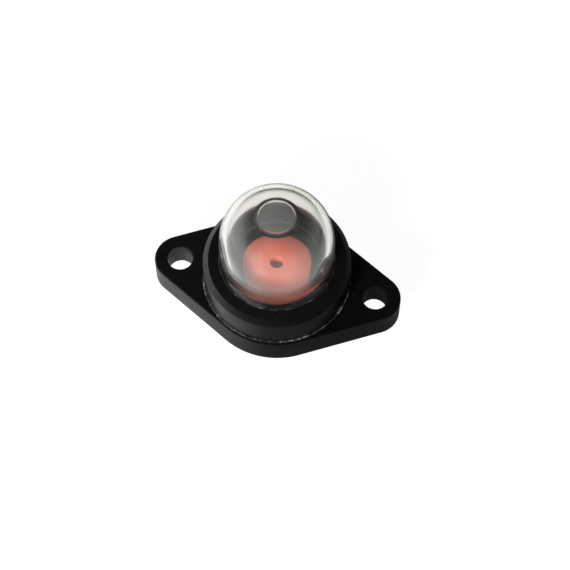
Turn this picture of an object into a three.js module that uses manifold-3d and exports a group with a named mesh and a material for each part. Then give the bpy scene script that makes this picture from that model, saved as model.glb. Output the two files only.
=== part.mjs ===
// Flange-mounted primer bulb for a small engine: a clear squeeze bulb is clamped to a black
// plastic body by a retaining ring, over a red umbrella-and-duckbill check valve. Two screws
// hold the body's flange to a panel, and two nipples on its back take the fuel lines.
//
// Millimetres, +Z up. The origin is the middle of the flange's flat back face, +Z points out
// of the panel along the bulb's axis, and +X runs along the line of the two screw holes.
import * as THREE from "three";
import { mergeVertices } from "three/addons/utils/BufferGeometryUtils.js";
import Module from "manifold-3d";

// Driving dimensions of the flange
const HOLE_SPACING = 38; // between the centres of the two screw holes
const HOLE_DIAMETER = 4.9;
const EAR_RADIUS = 4.85; // round end of the flange, about a screw hole
const LOBE_RADIUS = 14.3; // round middle of the flange, about the bulb's axis
const FLANGE_THICKNESS = 5.7;
const EDGE_BREAK = 0.15; // small bevel on the flange's moulded edges

// Driving dimensions of the body in front of the flange
const SEAT_MARGIN = 0.25; // flange left bare around the low round seat of the ring
const SEAT_HEIGHT = 0.8;
const HUB_HEIGHT = 3; // from the seat to the face that carries the bulb and the valve
const CHAMBER_FLOOR = 1.2; // wall left under the valve's chamber

// Driving dimensions of the two hose nipples behind the flange
const NIPPLE_LENGTH = 10;
const NIPPLE_RADIUS = 1.3;
const NIPPLE_BORE_RADIUS = 0.75;
const BARB_RADIUS = 1.75;
const BARB_LENGTH = 2.4; // from the nipple's end to the back of its barb
const BARB_LAND = 0.4; // level part of the barb
const NIPPLE_ROOT = 0.6; // how far a nipple is rooted in the flange
const BORE_MARGIN = 0.1; // from the outlet's bore to the wall of the chamber

// Driving dimensions of the bulb
const BULB_RADIUS = 10.7;
const BULB_WALL = 1.2;
const BULB_HEIGHT = 19.6; // from the hub's face to the crown
const SHOULDER_RADIUS = 9; // round between the straight wall and the flat crown
const FOOT_THICKNESS = 2.2; // clamped foot of the bulb
const FOOT_WIDTH = 1.4; // how far the foot stands out past the wall
const PAD_RADIUS = 3.4; // round pad on the crown
const PAD_HEIGHT = 0.1;

// Driving dimensions of the retaining ring
const RING_WALL = 1.6; // around the bulb's foot
const RING_SLOPE = 1; // width and height of the slope at the ring's upper edge
const LIP_THICKNESS = 1.6; // lip that presses on the bulb's foot
const RING_FIT = 0.15; // clearance of the ring round the hub and of its lip round the bulb

// Driving dimensions of the check valve
const UMBRELLA_RADIUS = 7.2;
const UMBRELLA_EDGE = 0.5; // thickness of the umbrella's edge
const UMBRELLA_RISE = 1.9; // height of the umbrella's middle over its seat
const UMBRELLA_FLAT = 2.3; // radius of the umbrella's level middle
const UMBRELLA_HOLLOW = 0.35; // how far its underside is domed clear of the seat
const LAND_WIDTH = 0.6; // flat edge that seals on the seat
const STEM_RADIUS = 2.45;
const STEM_FIT = 0.2; // clearance of the stem in its chamber
const STEM_LENGTH = 3; // round part of the stem, under the seat
const BILL_LENGTH = 3.3; // flattened part of the stem, down to the lips
const LIPS_WIDTH = 0.9; // across both lips at the tip
const SLIT_WIDTH = 0.16; // between the lips
const VALVE_BORE_RADIUS = 1.25;
const MOUTH_ROUND = 0.25; // rounding of the bore's upper edge

// Smoothness
const TURN_STEPS = 60; // sides of a large turned shape
const SMALL_STEPS = 28; // sides of a small turned shape
const OUTLINE_STEPS = 12; // half the sides of each round in the flange's outline
const SHOULDER_STEPS = 12;
const SLOPE_STEPS = 7;
const MOUTH_STEPS = 3;
const OVERRUN = 1; // how far a cutter runs past the face that it cuts

// Radii and heights that follow from the driving dimensions
const footRadius = BULB_RADIUS + FOOT_WIDTH;
const ringBore = footRadius + RING_FIT;
const ringRadius = ringBore + RING_WALL;
const chamberRadius = STEM_RADIUS + STEM_FIT;
const seatTop = FLANGE_THICKNESS + SEAT_HEIGHT;
const hubTop = seatTop + HUB_HEIGHT;
const footTop = hubTop + FOOT_THICKNESS;
const ringTop = footTop + LIP_THICKNESS;
const crownTop = hubTop + BULB_HEIGHT;
const umbrellaTop = hubTop + UMBRELLA_RISE;
const billTop = hubTop - STEM_LENGTH;
const billTip = billTop - BILL_LENGTH;

// The inlet opens midway between the chamber and the umbrella's sealing edge
const inletX = (chamberRadius + UMBRELLA_RADIUS - LAND_WIDTH) / 2;
// The outlet leaves the floor of the chamber, on its far side
const outletX = NIPPLE_BORE_RADIUS + BORE_MARGIN - chamberRadius;

const wasm = await Module();
wasm.setup();

// A closed three.js geometry as a manifold-3d solid
function solid(geometry) {
  const bare = geometry.clone();
  bare.deleteAttribute("normal");
  bare.deleteAttribute("uv");
  const merged = mergeVertices(bare, 1e-4);
  return new wasm.Manifold(
    new wasm.Mesh({
      numProp: 3,
      vertProperties: new Float32Array(merged.attributes.position.array),
      triVerts: new Uint32Array(merged.index.array),
    }),
  );
}

// A manifold-3d solid as a three.js geometry
function geometryOf(shape) {
  const mesh = shape.getMesh();
  const geometry = new THREE.BufferGeometry();
  geometry.setAttribute("position", new THREE.BufferAttribute(mesh.vertProperties, 3));
  geometry.setIndex(new THREE.BufferAttribute(mesh.triVerts, 1));
  geometry.computeVertexNormals();
  return geometry;
}

// A turned shape about +Z from [radius, height] points that keep the material on their left
function turned(profile, steps = TURN_STEPS) {
  const points = profile.map(([r, z]) => new THREE.Vector2(r, z));
  return new THREE.LatheGeometry(points, steps).rotateX(Math.PI / 2);
}

// A round bar along the vertical line through x
function bar(x, radius, bottom, top) {
  const profile = [[0, bottom], [radius, bottom], [radius, top], [0, top]];
  return solid(turned(profile, SMALL_STEPS).translate(x, 0, 0));
}

// Profile points of an arc between two angles, in radians
function arc(centreR, centreZ, radius, from, to, steps) {
  return Array.from({ length: steps + 1 }, (_, i) => {
    const angle = from + ((to - from) * i) / steps;
    return [centreR + radius * Math.cos(angle), centreZ + radius * Math.sin(angle)];
  });
}

// Outline of the flange: two ears and a round middle, joined by their common tangents
function flangeOutline() {
  const reach = HOLE_SPACING / 2;
  const touch = Math.acos((LOBE_RADIUS - EAR_RADIUS) / reach);
  const outline = new THREE.Shape();
  outline.absarc(reach, 0, EAR_RADIUS, -touch, touch);
  outline.absarc(0, 0, LOBE_RADIUS, touch, Math.PI - touch);
  outline.absarc(-reach, 0, EAR_RADIUS, Math.PI - touch, Math.PI + touch);
  outline.absarc(0, 0, LOBE_RADIUS, Math.PI + touch, 2 * Math.PI - touch);
  for (const x of [-reach, reach]) {
    const hole = new THREE.Path();
    hole.absarc(x, 0, HOLE_DIAMETER / 2, 0, 2 * Math.PI, true);
    outline.holes.push(hole);
  }
  return outline;
}

function flangePlate() {
  const plate = new THREE.ExtrudeGeometry(flangeOutline(), {
    depth: FLANGE_THICKNESS - 2 * EDGE_BREAK,
    curveSegments: OUTLINE_STEPS,
    bevelThickness: EDGE_BREAK,
    bevelSize: EDGE_BREAK,
    bevelOffset: -EDGE_BREAK,
    bevelSegments: 1,
  });
  return solid(plate.translate(0, 0, EDGE_BREAK));
}

// The low seat that carries the ring, and the hub that fills the ring
function seatAndHub() {
  const inside = FLANGE_THICKNESS / 2;
  const seatRadius = LOBE_RADIUS - SEAT_MARGIN;
  return solid(turned([
    [0, inside],
    [seatRadius, inside],
    [seatRadius, seatTop],
    [footRadius, seatTop],
    [footRadius, hubTop],
    [0, hubTop],
  ]));
}

// A barbed hose nipple that points away from the flange's back
function nipple(x) {
  const barbBack = BARB_LENGTH - NIPPLE_LENGTH;
  const profile = [
    [0, -NIPPLE_LENGTH],
    [NIPPLE_RADIUS, -NIPPLE_LENGTH],
    [BARB_RADIUS, barbBack - BARB_LAND],
    [BARB_RADIUS, barbBack],
    [NIPPLE_RADIUS, barbBack],
    [NIPPLE_RADIUS, NIPPLE_ROOT],
    [0, NIPPLE_ROOT],
  ];
  return solid(turned(profile, SMALL_STEPS).translate(x, 0, 0));
}

// The body: flange, hub and nipples in one moulding, with the fuel passages through it
function bodyGeometry() {
  const below = -NIPPLE_LENGTH - OVERRUN;
  const inlet = bar(inletX, NIPPLE_BORE_RADIUS, below, hubTop + OVERRUN);
  const outlet = bar(outletX, NIPPLE_BORE_RADIUS, below, CHAMBER_FLOOR + OVERRUN);
  const chamber = bar(0, chamberRadius, CHAMBER_FLOOR, hubTop + OVERRUN);
  const moulding = flangePlate().add(seatAndHub()).add(nipple(inletX)).add(nipple(outletX));
  return geometryOf(moulding.subtract(inlet).subtract(outlet).subtract(chamber));
}

// The ring: a wall round the hub, a slope at its upper edge and a lip over the bulb's foot
function ringGeometry() {
  const lipBore = BULB_RADIUS + RING_FIT;
  return turned([
    [ringBore, seatTop],
    [ringRadius, seatTop],
    [ringRadius, ringTop - RING_SLOPE],
    [ringRadius - RING_SLOPE, ringTop],
    [lipBore, ringTop],
    [lipBore, footTop],
    [ringBore, footTop],
    [ringBore, seatTop],
  ]);
}

// The bulb: a clamped foot, a straight wall, a round shoulder and a flat crown with a pad
function bulbGeometry() {
  const inside = BULB_RADIUS - BULB_WALL;
  const centreR = BULB_RADIUS - SHOULDER_RADIUS;
  const centreZ = crownTop - SHOULDER_RADIUS;
  const padAngle = Math.acos((PAD_RADIUS - centreR) / SHOULDER_RADIUS);
  return turned([
    [0, crownTop - BULB_WALL],
    ...arc(centreR, centreZ, SHOULDER_RADIUS - BULB_WALL, Math.PI / 2, 0, SHOULDER_STEPS),
    [inside, hubTop],
    [footRadius, hubTop],
    [footRadius, footTop],
    [BULB_RADIUS, footTop],
    ...arc(centreR, centreZ, SHOULDER_RADIUS, 0, padAngle, SHOULDER_STEPS),
    [PAD_RADIUS, crownTop + PAD_HEIGHT],
    [0, crownTop + PAD_HEIGHT],
  ]);
}

// Profile points from the umbrella's edge up to its level middle
function umbrellaSlope() {
  const edgeTop = hubTop + UMBRELLA_EDGE;
  return Array.from({ length: SLOPE_STEPS + 1 }, (_, i) => {
    const share = i / SLOPE_STEPS;
    const r = UMBRELLA_RADIUS + (UMBRELLA_FLAT - UMBRELLA_RADIUS) * share;
    return [r, edgeTop + (umbrellaTop - edgeTop) * Math.sin((share * Math.PI) / 2)];
  });
}

// All of the space above the bill, and below it a wedge that narrows down to the bill's tip
function wedge(upperHalf, lowerHalf) {
  const wide = UMBRELLA_RADIUS + OVERRUN;
  const outline = new THREE.Shape();
  outline.moveTo(-lowerHalf, billTip - 2 * OVERRUN);
  outline.lineTo(lowerHalf, billTip - 2 * OVERRUN);
  outline.lineTo(lowerHalf, billTip);
  outline.lineTo(upperHalf, billTop);
  outline.lineTo(wide, billTop);
  outline.lineTo(wide, umbrellaTop + 2 * OVERRUN);
  outline.lineTo(-wide, umbrellaTop + 2 * OVERRUN);
  outline.lineTo(-wide, billTop);
  outline.lineTo(-upperHalf, billTop);
  outline.lineTo(-lowerHalf, billTip);
  outline.closePath();
  const block = new THREE.ExtrudeGeometry(outline, { depth: 2 * wide, bevelEnabled: false });
  return solid(block.translate(0, 0, -wide).rotateX(Math.PI / 2));
}

// The valve: an umbrella over the inlet, on a bored stem that ends in a duckbill
function valveGeometry() {
  const mouthR = VALVE_BORE_RADIUS + MOUTH_ROUND;
  const mouthZ = umbrellaTop - MOUTH_ROUND;
  const rubber = solid(turned([
    [0, billTip],
    [STEM_RADIUS, billTip],
    [STEM_RADIUS, hubTop + UMBRELLA_HOLLOW],
    [UMBRELLA_RADIUS - LAND_WIDTH, hubTop],
    [UMBRELLA_RADIUS, hubTop],
    ...umbrellaSlope(),
    [0, umbrellaTop],
  ]));
  const passage = solid(turned([
    [0, billTip - OVERRUN],
    [VALVE_BORE_RADIUS, billTip - OVERRUN],
    ...arc(mouthR, mouthZ, MOUTH_ROUND, Math.PI, Math.PI / 2, MOUTH_STEPS),
    [mouthR, umbrellaTop + OVERRUN],
    [0, umbrellaTop + OVERRUN],
  ]));
  const outside = rubber.intersect(wedge(STEM_RADIUS, LIPS_WIDTH / 2));
  return geometryOf(outside.subtract(passage.intersect(wedge(VALVE_BORE_RADIUS, SLIT_WIDTH / 2))));
}

const blackBody = new THREE.MeshStandardMaterial({ color: 0x1b1b1c, roughness: 0.45, metalness: 0 });
const blackRing = new THREE.MeshStandardMaterial({ color: 0x1d1d1e, roughness: 0.35, metalness: 0 });
const redRubber = new THREE.MeshStandardMaterial({ color: 0xd0695a, roughness: 0.6, metalness: 0 });
const clearPlastic = new THREE.MeshStandardMaterial({
  color: 0xe2e6dc,
  roughness: 0.08,
  metalness: 0,
  transparent: true,
  opacity: 0.35,
});

function piece(name, geometry, material) {
  const mesh = new THREE.Mesh(geometry, material);
  mesh.name = name;
  return mesh;
}

const primer = new THREE.Group();
primer.add(
  piece("base_body", bodyGeometry(), blackBody),
  piece("retaining_ring", ringGeometry(), blackRing),
  piece("bulb", bulbGeometry(), clearPlastic),
  piece("check_valve", valveGeometry(), redRubber),
);

export default primer;
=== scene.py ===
"""Looks of a flange-mounted primer bulb: a clear bulb in a black ring, over a red valve.

Metres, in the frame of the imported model: +Z along the bulb's axis, +X along the two screw holes.
"""
import math

import bpy
from mathutils import Matrix, Vector, noise


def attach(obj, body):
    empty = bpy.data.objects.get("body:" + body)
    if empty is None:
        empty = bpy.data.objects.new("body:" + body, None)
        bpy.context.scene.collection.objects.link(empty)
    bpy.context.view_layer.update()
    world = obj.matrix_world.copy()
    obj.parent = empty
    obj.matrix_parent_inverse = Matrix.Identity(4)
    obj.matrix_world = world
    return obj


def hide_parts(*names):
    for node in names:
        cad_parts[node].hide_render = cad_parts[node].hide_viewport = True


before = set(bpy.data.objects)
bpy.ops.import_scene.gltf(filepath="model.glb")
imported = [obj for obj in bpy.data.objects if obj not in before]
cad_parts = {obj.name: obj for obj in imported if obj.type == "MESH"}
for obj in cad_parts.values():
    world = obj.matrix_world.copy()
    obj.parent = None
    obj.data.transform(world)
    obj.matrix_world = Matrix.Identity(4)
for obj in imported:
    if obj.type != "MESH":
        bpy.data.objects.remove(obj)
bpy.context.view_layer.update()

MM = 0.001

# Camera, from the photograph's own frame
IMAGE_SIDE = 570
CAMERA_AZIMUTH = math.radians(12.9)
CAMERA_ELEVATION = math.radians(62.5)
CAMERA_DISTANCE = 350.0
PIXELS_PER_MM = 5.19
ORIGIN_PIXEL = (277.2, 291.2)
SENSOR_WIDTH = 36.0

# Heights and radii in millimetres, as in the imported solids
SEAT_TOP = 6.5
SEAT_RADIUS = 14.05
HUB_TOP = 9.5
FOOT_TOP = 11.7
FOOT_RADIUS = 12.1
RING_TOP = 13.3
RING_RADIUS = 13.85
RING_BORE = 12.25
RING_SLOPE = 1.0
RING_RELIEF = 0.4
LIP_BORE = 10.85
BULB_RADIUS = 10.7
BULB_WALL = 1.2
CROWN_TOP = 29.1
PAD_RADIUS = 3.4
PAD_HEIGHT = 0.1
UMBRELLA_RADIUS = 7.2
UMBRELLA_EDGE = 0.5
UMBRELLA_TOP = 11.4
UMBRELLA_FLAT = 2.3
UMBRELLA_HOLLOW = 0.35
LAND_WIDTH = 0.6
STEM_RADIUS = 2.45
BILL_TOP = 6.5
BILL_TIP = 3.2
LIPS_WIDTH = 0.9
SLIT_WIDTH = 0.16
VALVE_BORE = 1.25
FLOOR_DEPTH = 10.1

# Finer shapes, in millimetres
CORNER_ROUND = 0.22
DOME_HEIGHT = 11.84
DOME_SQUARENESS = (2.37, 3.0)
DOME_CROWDING = 1.5
PAD_FILLET = 0.9
PAD_BEAD = 0.1
PAD_BEAD_HEIGHT = 0.05
CROWN_EDGE = PAD_RADIUS + PAD_FILLET + 0.3
CROWN_STEP = 0.05
CROWN_MIDDLE = 0.2
MOUTH_ROUND = 0.25
FLASH_WAVES = 7
FLASH_RAGS = 60

# Steps round a turned shape, and along its sections
TURN_STEPS = 192
FLASH_STEPS = 900
DOME_STEPS = 96
CROWN_STEPS = 90
UMBRELLA_STEPS = 24

# Clear plastic: heights in millimetres between which its finish changes, and its pad's frost
HAZE_FOOT = 13.0
HAZE_TOP = 28.0
FROST_EDGE = (PAD_RADIUS + 0.45, PAD_RADIUS - 0.1)
FROST_FLOOR = CROWN_TOP - 0.5
FROST_AMOUNT = 0.2
MILK_COLOUR = (0.8, 0.8, 0.8, 1)
TINT_COLOUR = (0.8, 0.83, 0.7, 1)
TINT_DENSITY = 110.0
CLEAR_IOR = 1.47

# Studio, in metres: where the painted shade on the floor behind the part starts and ends, and how far
# the painted reflection on the floor reaches
FLOOR_REACH = 2.0
PAINTED_SHADE_START, PAINTED_SHADE_END = 0.06, 0.11
PAINTED_REFLECTION_REACH = 0.035
WHITE = (1, 1, 1, 1)


def arc(centre_r, centre_z, radius, start, end, steps):
    """Profile points of an arc between two angles in degrees."""
    angles = [math.radians(start + (end - start) * i / steps) for i in range(steps + 1)]
    return [(centre_r + radius * math.cos(a), centre_z + radius * math.sin(a)) for a in angles]


def softened(profile, radius, steps=4):
    """The profile with its corners rounded, as far as the sides beside each allow."""
    points = [Vector(p) for p in profile]
    rounded = [points[0]]
    for before, corner, after in zip(points, points[1:], points[2:]):
        into, out = before - corner, after - corner
        turn = into.angle(out, math.pi)
        if turn > math.radians(160):
            rounded.append(corner)
            continue
        reach = min(radius / math.tan(turn / 2), 0.45 * into.length, 0.45 * out.length)
        start, end = corner + into.normalized() * reach, corner + out.normalized() * reach
        for i in range(steps + 1):
            t = i / steps
            rounded.append((1 - t) ** 2 * start + 2 * t * (1 - t) * corner + t ** 2 * end)
    return [tuple(p) for p in rounded + [points[-1]]]


def upright(r, angle, z):
    """The point at a radius, an angle and a height."""
    return r * math.cos(angle), r * math.sin(angle), z


def turned(name, profile, steps=TURN_STEPS, place=upright):
    """A smooth mesh of revolution about Z from (radius, height) points in millimetres.

    place takes radius, angle and height, and returns a point, for shapes that aren't quite round.
    """
    closed = profile[0] == profile[-1]
    rings = profile[:-1] if closed else profile
    vertices, rows = [], []
    for r, z in rings:
        count = 1 if r < 1e-6 else steps
        rows.append(range(len(vertices), len(vertices) + count))
        for i in range(count):
            vertices.append(Vector(place(r, 2 * math.pi * i / steps, z)) * MM)
    faces = []
    pairs = list(zip(rows, rows[1:])) + ([(rows[-1], rows[0])] if closed else [])
    for low, high in pairs:
        for i in range(steps):
            j = (i + 1) % steps
            corners = [low[i % len(low)], low[j % len(low)], high[j % len(high)], high[i % len(high)]]
            faces.append(list(dict.fromkeys(corners)))
    mesh = bpy.data.meshes.new(name)
    mesh.from_pydata(vertices, [], faces)
    mesh.polygons.foreach_set("use_smooth", [True] * len(faces))
    mesh.validate()
    piece = bpy.data.objects.new(name, mesh)
    bpy.context.scene.collection.objects.link(piece)
    return piece


def dressed(piece, material, slot, *nodes):
    """Gives a new piece its material and its place in the frame."""
    piece.data.materials.append(material)
    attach(piece, "root")
    if nodes:
        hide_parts(*nodes)


def node_of(tree, kind, sockets=None, **settings):
    """A node with its properties set by name, and sockets set to a value or fed from an output."""
    made = tree.nodes.new(kind)
    for key, value in settings.items():
        setattr(made, key, value)
    for key, value in (sockets or {}).items():
        if isinstance(value, bpy.types.NodeSocket):
            tree.links.new(value, made.inputs[key])
        else:
            made.inputs[key].default_value = value
    return made


def noise_of(tree, place, scale, detail, roughness=0.5):
    """A noise pattern, at a scale per metre."""
    sockets = {"Vector": place, "Scale": scale, "Detail": detail, "Roughness": roughness}
    return node_of(tree, "ShaderNodeTexNoise", sockets).outputs["Fac"]


def share_of(tree, value, low, high, top=1.0, **settings):
    """How far a value has come from low to high: 0 up to low, and top from high on."""
    sockets = {"Value": value, "From Min": low, "From Max": high, "To Max": top}
    return node_of(tree, "ShaderNodeMapRange", sockets, **settings).outputs[0]


def maths(tree, operation, *values, **settings):
    """The result of a sum on values or outputs."""
    sockets = dict(enumerate(values))
    return node_of(tree, "ShaderNodeMath", sockets, operation=operation, **settings).outputs[0]


def mixed(tree, amount, first, second, blend="MIX"):
    """Two colours mixed by an amount."""
    sockets = {0: amount, 6: first, 7: second}
    return node_of(tree, "ShaderNodeMix", sockets, data_type="RGBA", blend_type=blend).outputs[2]


def both_shaders(tree, amount, first, second):
    """Two shaders mixed by an amount."""
    return node_of(tree, "ShaderNodeMixShader", {0: amount, 1: first, 2: second}).outputs[0]


def split_place(tree, place):
    """The X, Y and Z of a place or direction."""
    return node_of(tree, "ShaderNodeSeparateXYZ", {0: place}).outputs


def ramp(tree, factor, *stops):
    """A colour ramp on a factor, from (position, grey or colour) stops."""
    made = tree.nodes.new("ShaderNodeValToRGB")
    elements = made.color_ramp.elements
    while len(elements) < len(stops):
        elements.new(0.5)
    for element, (position, colour) in zip(elements, stops):
        element.position = position
        element.color = (*([colour] * 3 if isinstance(colour, (int, float)) else colour), 1)
    tree.links.new(factor, made.inputs["Fac"])
    return made.outputs["Color"]


def new_material(name):
    """A material with its node tree and its main shader."""
    material = bpy.data.materials.new(name)
    material.use_nodes = True
    tree = material.node_tree
    return material, tree, tree.nodes["Principled BSDF"]


def grain(tree, shader, scale, depth, detail=3):
    """Fine bumps on a moulded surface, at a scale per metre and a depth in metres."""
    place = tree.nodes.new("ShaderNodeTexCoord").outputs["Object"]
    bumps = noise_of(tree, place, scale, detail, 0.6)
    sockets = {"Strength": 1.0, "Distance": depth, "Height": bumps}
    bump = node_of(tree, "ShaderNodeBump", sockets)
    tree.links.new(bump.outputs["Normal"], shader.inputs["Normal"])
    return place


def black_plastic(name, level, roughness, depth):
    """Moulded black plastic with a fine grain, faint scuffs and a few pale specks of dust."""
    material, tree, shader = new_material(name)
    place = grain(tree, shader, 2600, depth)
    scuffs = noise_of(tree, place, 420.0, 5.0, 0.7)
    rough = ramp(tree, scuffs, (0.3, roughness - 0.05), (0.75, roughness + 0.09))
    tree.links.new(rough, shader.inputs["Roughness"])
    sockets = {"Vector": place, "Scale": 520.0, "Randomness": 1.0}
    specks = node_of(tree, "ShaderNodeTexVoronoi", sockets).outputs["Distance"]
    dust = ramp(tree, specks, (0.04, level * 9), (0.09, level))
    tree.links.new(dust, shader.inputs["Base Color"])
    shader.inputs["Specular IOR Level"].default_value = 0.3
    return material


def clear_plastic():
    """Clear flexible plastic: greenish edge-on, milky on its shoulder, frosted on its pad."""
    material, tree, shader = new_material("clear_plastic")
    shader.inputs["Base Color"].default_value = (1.0, 1.0, 0.995, 1)
    shader.inputs["Transmission Weight"].default_value = 1.0
    shader.inputs["IOR"].default_value = CLEAR_IOR
    place = grain(tree, shader, 160, 0.00002, detail=1)
    x, y, z = split_place(tree, place)
    height = share_of(tree, z, HAZE_FOOT * MM, HAZE_TOP * MM)
    rough = ramp(tree, height, (0.0, 0.06), (0.3, 0.15), (0.45, 0.07), (0.75, 0.035))
    tree.links.new(rough, shader.inputs["Roughness"])

    # The milky veil, in patches, and the frost on the pad
    patchy = ramp(tree, noise_of(tree, place, 220.0, 3.0), (0.33, 0.5), (0.65, 1.0))
    milky = ramp(tree, height, (0.0, 0.0), (0.15, 0.0), (0.42, 0.07), (0.85, 0.11), (0.97, 0.04))
    flat = node_of(tree, "ShaderNodeCombineXYZ", {"X": x, "Y": y}).outputs[0]
    middle = node_of(tree, "ShaderNodeVectorMath", {0: flat}, operation="LENGTH").outputs["Value"]
    within = share_of(tree, middle, *(edge * MM for edge in FROST_EDGE))
    above = maths(tree, "GREATER_THAN", z, FROST_FLOOR * MM)
    frost = maths(tree, "MULTIPLY", within, above)
    veil = maths(tree, "MULTIPLY", milky, patchy)
    amount = maths(tree, "MULTIPLY_ADD", frost, FROST_AMOUNT, veil)
    glow = node_of(tree, "ShaderNodeBsdfTranslucent", {"Color": MILK_COLOUR}).outputs[0]
    bounce = node_of(tree, "ShaderNodeBsdfDiffuse", {"Color": MILK_COLOUR}).outputs[0]
    milk = both_shaders(tree, 0.5, glow, bounce)
    veiled = both_shaders(tree, amount, shader.outputs[0], milk)

    # Lamps shine through it; low on the bulb, by the ring's lip, its shadow colour is dark, a painted
    # shade on the front of the valve
    lit = ramp(tree, height, (0.0, 0.14), (0.09, 0.4), (0.2, (0.95, 0.955, 0.94)))
    through = node_of(tree, "ShaderNodeBsdfTransparent", {"Color": lit}).outputs[0]
    shadow = tree.nodes.new("ShaderNodeLightPath").outputs["Is Shadow Ray"]
    surface = both_shaders(tree, shadow, veiled, through)
    sockets = {"Color": TINT_COLOUR, "Density": TINT_DENSITY}
    inside = node_of(tree, "ShaderNodeVolumeAbsorption", sockets).outputs[0]
    output = tree.nodes["Material Output"]
    tree.links.new(surface, output.inputs["Surface"])
    tree.links.new(inside, output.inputs["Volume"])
    return material


def red_rubber():
    """Smooth silicone rubber, salmon red, with a soft glow from within."""
    material, tree, shader = new_material("red_rubber")
    place = grain(tree, shader, 900, 0.00002)
    cloud = noise_of(tree, place, 180.0, 2.0)
    colour = ramp(tree, cloud, (0.35, (0.71, 0.17, 0.12)), (0.7, (0.8, 0.22, 0.155)))
    tree.links.new(colour, shader.inputs["Base Color"])
    shader.inputs["Roughness"].default_value = 0.5
    shader.inputs["Subsurface Weight"].default_value = 0.25
    shader.inputs["Subsurface Radius"].default_value = (0.6 * MM, 0.25 * MM, 0.2 * MM)
    shader.inputs["Subsurface Scale"].default_value = 1.0
    return material


def flash_painted_highlight():
    """Rough black plastic, pale grey in patches: a painted highlight along the ragged beads of flash."""
    material, tree, shader = new_material("flash_painted_highlight")
    place = grain(tree, shader, 3000, 0.00004)
    patches = noise_of(tree, place, 650.0, 4.0, 0.7)
    # Painted highlight: pale grey patches on the flash beads stand in for the light they catch
    colour = ramp(tree, patches, (0.4, 0.006), (0.55, 0.06), (0.68, 0.3))
    tree.links.new(colour, shader.inputs["Base Color"])
    shader.inputs["Roughness"].default_value = 0.6
    return material


def make_ring(material):
    """The retaining ring, with its corners rounded."""
    profile = [
        (RING_BORE, SEAT_TOP),
        (RING_RADIUS, SEAT_TOP),
        (RING_RADIUS, RING_TOP - RING_SLOPE),
        (RING_RADIUS - RING_SLOPE, RING_TOP),
        (LIP_BORE, RING_TOP),
        (LIP_BORE, FOOT_TOP),
        (RING_BORE, FOOT_TOP),
        (RING_BORE, SEAT_TOP + RING_RELIEF),
        (RING_BORE, SEAT_TOP),
    ]
    ring = turned("retaining_ring_moulding", softened(profile, CORNER_ROUND))
    dressed(ring, material, "ring", "retaining_ring")


def dome_point(share, depth):
    """A point of the dome's section, from the wall at 0 to the crown at 1, at a depth under its skin."""
    across, along = (2 / n for n in DOME_SQUARENESS)
    angle = min(max(share, 1e-4), 1 - 1e-4) ** DOME_CROWDING * math.pi / 2
    c, s = math.cos(angle), math.sin(angle)
    spring = CROWN_TOP - DOME_HEIGHT
    skin = Vector((BULB_RADIUS * c ** across, spring + DOME_HEIGHT * s ** along))
    run_r = -BULB_RADIUS * across * c ** (across - 1) * s
    run_z = DOME_HEIGHT * along * s ** (along - 1) * c
    return tuple(skin - Vector((run_z, -run_r)).normalized() * depth)


def crown_point(skin, r):
    """A point of the crown at a radius: the dome's skin, and on it the raised pad with its fine bead."""
    outer, inner = next(pair for pair in zip(skin, skin[1:]) if pair[1][0] <= r <= pair[0][0])
    share = (outer[0] - r) / (outer[0] - inner[0])
    z = outer[1] + (inner[1] - outer[1]) * share
    up = min(max((PAD_RADIUS + PAD_FILLET - r) / PAD_FILLET, 0), 1)
    bead = max(0, 1 - ((r - PAD_RADIUS) / PAD_BEAD) ** 2)
    raised = z + PAD_HEIGHT * up * up * (3 - 2 * up) + PAD_BEAD_HEIGHT * bead
    return r, min(raised, CROWN_TOP + PAD_HEIGHT)


def make_bulb(material):
    """The bulb: an even wall round its hollow, a thick foot, and a raised pad on its crown."""
    inside = BULB_RADIUS - BULB_WALL
    shares = [i / DOME_STEPS for i in range(DOME_STEPS + 1)]
    inner = [dome_point(share, BULB_WALL) for share in reversed(shares)]
    outer = [dome_point(share, 0) for share in shares]
    foot = [(inside, HUB_TOP), (FOOT_RADIUS, HUB_TOP), (FOOT_RADIUS, FOOT_TOP), (BULB_RADIUS, FOOT_TOP)]
    radii = [CROWN_EDGE - CROWN_STEP * i for i in range(CROWN_STEPS)]
    crown = [crown_point(outer, r) for r in radii if r > CROWN_MIDDLE]
    wall = [p for p in outer if p[0] > CROWN_EDGE]
    lining = [p for p in inner if p[0] > CROWN_MIDDLE]
    top, underside = (0, CROWN_TOP + PAD_HEIGHT), (0, CROWN_TOP - BULB_WALL)
    profile = [underside] + lining + foot + wall + crown + [top]
    dressed(turned("bulb_moulding", profile), material, "bulb", "bulb")


def bill_point(r, angle, z):
    """A point of the valve: round above, and pressed flat towards the bill's tip."""
    x, y, z = upright(r, angle, z)
    down = min(max((BILL_TOP - z) / (BILL_TOP - BILL_TIP), 0), 1)
    in_bore = r < (VALVE_BORE + STEM_RADIUS) / 2
    at_tip = SLIT_WIDTH / 2 / VALVE_BORE if in_bore else LIPS_WIDTH / 2 / STEM_RADIUS
    return x * (1 + (at_tip - 1) * down), y, z


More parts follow.
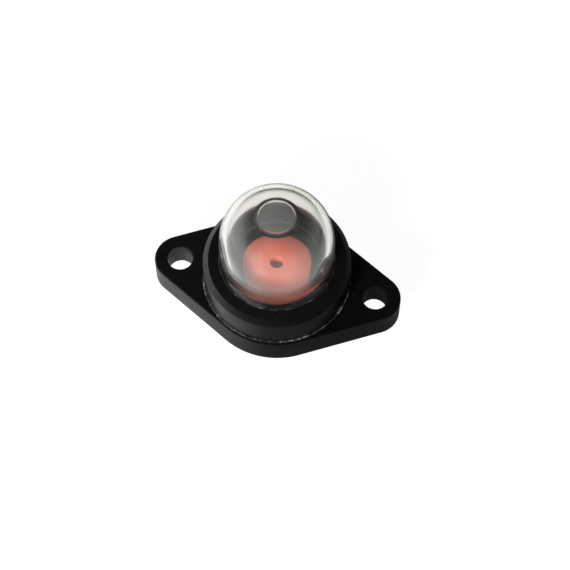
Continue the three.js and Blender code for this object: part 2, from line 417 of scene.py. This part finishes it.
def make_valve(material):
    """The valve: a round umbrella on a bored stem that ends in a duckbill."""
    edge_top = HUB_TOP + UMBRELLA_EDGE
    bill_middle = (BILL_TOP + BILL_TIP) / 2
    slope = []
    for i in range(UMBRELLA_STEPS + 1):
        share = i / UMBRELLA_STEPS
        r = UMBRELLA_RADIUS + (UMBRELLA_FLAT - UMBRELLA_RADIUS) * share
        slope.append((r, edge_top + (UMBRELLA_TOP - edge_top) * math.sin(share * math.pi / 2)))
    mouth = arc(VALVE_BORE + MOUTH_ROUND, UMBRELLA_TOP - MOUTH_ROUND, MOUTH_ROUND, 90, 180, 8)
    bore = [(VALVE_BORE, BILL_TOP), (VALVE_BORE, bill_middle), (VALVE_BORE, BILL_TIP)]
    outside = [
        (STEM_RADIUS, BILL_TIP),
        (STEM_RADIUS, bill_middle),
        (STEM_RADIUS, BILL_TOP),
        (STEM_RADIUS, HUB_TOP + UMBRELLA_HOLLOW),
        (UMBRELLA_RADIUS - LAND_WIDTH, HUB_TOP),
        (UMBRELLA_RADIUS, HUB_TOP),
    ]
    profile = outside + slope + mouth + bore + [outside[0]]
    valve = turned("check_valve_moulding", profile, place=bill_point)
    dressed(valve, material, "valve", "check_valve")


def make_flash(name, middle, height, thickness, slot, material):
    """A thin, ragged bead of flash round a joint, at a radius and a height."""
    def uneven(r, angle, z):
        around = Vector(upright(1, angle, 0))
        wave = noise.noise(around * FLASH_WAVES + Vector((0, 0, middle)))
        rags = noise.noise(around * FLASH_RAGS + Vector((0, 0, height)))
        swell = max(0.25, 0.75 + 0.6 * wave + 0.7 * rags)
        return upright(middle + (r - middle) * swell, angle, height + (z - height) * swell)

    profile = arc(middle, height, thickness, 0, 360, 10)
    profile[-1] = profile[0]
    dressed(turned(name, profile, FLASH_STEPS, uneven), material, slot)


def keep_smooth(piece):
    """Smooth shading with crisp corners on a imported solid, leaving its mesh as it is."""
    group = bpy.data.node_groups.new("smooth_shading", "GeometryNodeTree")
    for way in ("INPUT", "OUTPUT"):
        group.interface.new_socket("Geometry", in_out=way, socket_type="NodeSocketGeometry")
    chain = [
        node_of(group, "NodeGroupInput"),
        node_of(group, "GeometryNodeMergeByDistance", {"Distance": 0.001 * MM}),
        node_of(group, "GeometryNodeSetShadeSmooth"),
        node_of(group, "NodeGroupOutput"),
    ]
    for before, after in zip(chain, chain[1:]):
        group.links.new(before.outputs[0], after.inputs[0])
    piece.modifiers.new("shading", "NODES").node_group = group
    piece.modifiers.new("corners", "EDGE_SPLIT").split_angle = math.radians(50)
    piece.modifiers.new("normals", "WEIGHTED_NORMAL").keep_sharp = True


def floor_material():
    """White that keeps the part's shadow.

    Rays through the bulb see painted shade on it, dark olive towards the back, and reflections
    see a painted reflection on it, lit bright on the left and shaded dark on the right.
    """
    material, tree, shader = new_material("white_floor")
    shader.inputs["Base Color"].default_value = (0.5, 0.5, 0.5, 1)
    shader.inputs["Roughness"].default_value = 0.9
    shader.inputs["Specular IOR Level"].default_value = 0.0
    ray = tree.nodes.new("ShaderNodeLightPath").outputs
    camera, glossy = ray["Is Camera Ray"], ray["Is Glossy Ray"]
    through = ray["Is Transmission Ray"]
    x, y, _ = split_place(tree, tree.nodes.new("ShaderNodeTexCoord").outputs["Object"])
    # Painted shade: seen through the bulb, the floor turns dark olive a few centimetres behind the part
    far = share_of(tree, y, PAINTED_SHADE_START, PAINTED_SHADE_END)
    painted_shade_behind = ramp(tree, far, (0.0, (1, 1, 1)), (0.25, (0.95, 0.95, 0.88)), (1.0, (0.05, 0.052, 0.03)))
    # Painted reflection: in reflections the floor is lit bright on the left and shaded dark on the right
    side = share_of(tree, x, -PAINTED_REFLECTION_REACH, PAINTED_REFLECTION_REACH)
    painted_reflection = ramp(tree, side, (0.0, 1.3), (0.2, 0.9), (0.5, 0.08), (0.85, 0.01), (1.0, 0.25))

    # A rough transmission ray counts as glossy too, so it is taken off the reflections
    reflected = maths(tree, "SUBTRACT", glossy, through, use_clamp=True)
    colour = mixed(tree, reflected, mixed(tree, through, WHITE, painted_shade_behind), painted_reflection)
    # White for the eye, with the painted shade behind and the painted reflection for the other rays
    white_and_painted_light = node_of(tree, "ShaderNodeEmission", {"Color": colour, "Strength": 0.96})
    shade = node_of(tree, "ShaderNodeBsdfDiffuse", {"Color": (0.1, 0.1, 0.1, 1)})
    sockets = {0: white_and_painted_light.outputs[0], 1: shade.outputs[0]}
    bright = node_of(tree, "ShaderNodeAddShader", sockets).outputs[0]
    seen = maths(tree, "MAXIMUM", maths(tree, "MAXIMUM", camera, through), glossy)
    surface = both_shaders(tree, seen, shader.outputs[0], bright)
    tree.links.new(surface, tree.nodes["Material Output"].inputs["Surface"])
    return material


def make_floor():
    """A plain floor, just under the nipples."""
    mesh = bpy.data.meshes.new("floor")
    low, high, depth = -FLOOR_REACH, FLOOR_REACH, -FLOOR_DEPTH * MM
    corners = [(low, low, depth), (high, low, depth), (high, high, depth), (low, high, depth)]
    mesh.from_pydata(corners, [], [(0, 1, 2, 3)])
    floor = bpy.data.objects.new("floor", mesh)
    floor.data.materials.append(floor_material())
    bpy.context.scene.collection.objects.link(floor)


def make_world():
    """White to the eye, and for light a soft room, bright on the left and dim overhead."""
    world = bpy.data.worlds.new("studio")
    bpy.context.scene.world = world
    world.use_nodes = True
    tree = world.node_tree
    x, _, z = split_place(tree, tree.nodes.new("ShaderNodeTexCoord").outputs["Generated"])
    ray = tree.nodes.new("ShaderNodeLightPath").outputs
    height = ramp(tree, z, (0.0, 0.9), (0.4, 0.4), (0.75, 0.04))
    across = ramp(tree, share_of(tree, x, -1.0, 1.0), (0.1, 1.0), (0.45, 0.3), (0.75, 0.06))
    lit = mixed(tree, 1.0, height, across, "MULTIPLY")
    strip = share_of(tree, x, -0.55, -0.95, top=1.6, interpolation_type="SMOOTHSTEP")
    band = maths(tree, "MULTIPLY", strip, ray["Is Glossy Ray"])
    room = mixed(tree, 1.0, lit, band, "ADD")
    behind_glass = ramp(tree, z, (0.0, 1.0), (0.3, 0.9), (0.65, 0.05))
    glass = mixed(tree, ray["Is Transmission Ray"], room, behind_glass)
    colour = mixed(tree, ray["Is Camera Ray"], glass, WHITE)
    tree.links.new(colour, tree.nodes["Background"].inputs["Color"])


def lamp(name, azimuth, elevation, distance, side, power):
    """A square soft lamp that faces the part. Azimuth 0 is in front, and 90 to the right."""
    a, e = math.radians(azimuth), math.radians(elevation)
    way = Vector((math.sin(a) * math.cos(e), -math.cos(a) * math.cos(e), math.sin(e)))
    data = bpy.data.lights.new(name, "AREA")
    data.size = side
    data.energy = power
    made = bpy.data.objects.new(name, data)
    made.location = way * distance
    made.rotation_euler = way.to_track_quat("Z", "Y").to_euler()
    made.visible_camera = False
    made.visible_glossy = False
    made.visible_transmission = False
    bpy.context.scene.collection.objects.link(made)


def make_camera():
    """A pinhole camera that puts the frame's origin on its pixel in the photograph."""
    sin_e, cos_e = math.sin(CAMERA_ELEVATION), math.cos(CAMERA_ELEVATION)
    back = Vector((math.sin(CAMERA_AZIMUTH) * cos_e, -math.cos(CAMERA_AZIMUTH) * cos_e, sin_e))
    right = Vector((math.cos(CAMERA_AZIMUTH), math.sin(CAMERA_AZIMUTH), 0))
    up = back.cross(right)
    aside = (ORIGIN_PIXEL[0] - IMAGE_SIDE / 2) / PIXELS_PER_MM
    below = (ORIGIN_PIXEL[1] - IMAGE_SIDE / 2) / PIXELS_PER_MM
    data = bpy.data.cameras.new("camera")
    data.sensor_width = SENSOR_WIDTH
    data.lens = PIXELS_PER_MM * CAMERA_DISTANCE / IMAGE_SIDE * SENSOR_WIDTH
    camera = bpy.data.objects.new("camera", data)
    camera.matrix_world = Matrix((right, up, back)).transposed().to_4x4()
    camera.location = (back * CAMERA_DISTANCE - right * aside + up * below) * MM
    bpy.context.scene.collection.objects.link(camera)
    bpy.context.scene.camera = camera


make_camera()
make_floor()
make_world()
lamp("key", azimuth=-100, elevation=38, distance=0.4, side=0.2, power=0.35)
lamp("front", azimuth=-12, elevation=36, distance=0.5, side=0.1, power=3.5)

body_plastic = black_plastic("body_plastic", level=0.003, roughness=0.45, depth=0.00002)
ring_plastic = black_plastic("ring_plastic", level=0.0035, roughness=0.38, depth=0.000015)
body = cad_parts["base_body"]
body.data.materials.clear()
body.data.materials.append(body_plastic)
keep_smooth(body)
make_ring(ring_plastic)
flash = flash_painted_highlight()
make_flash("foot_flash", SEAT_RADIUS - 0.12, SEAT_TOP, 0.2, "ring", flash)
make_flash("lip_flash", (LIP_BORE + BULB_RADIUS) / 2, RING_TOP - 0.03, 0.07, "ring", flash)
make_bulb(clear_plastic())
make_valve(red_rubber())

bpy.context.scene.view_settings.view_transform = "Standard"
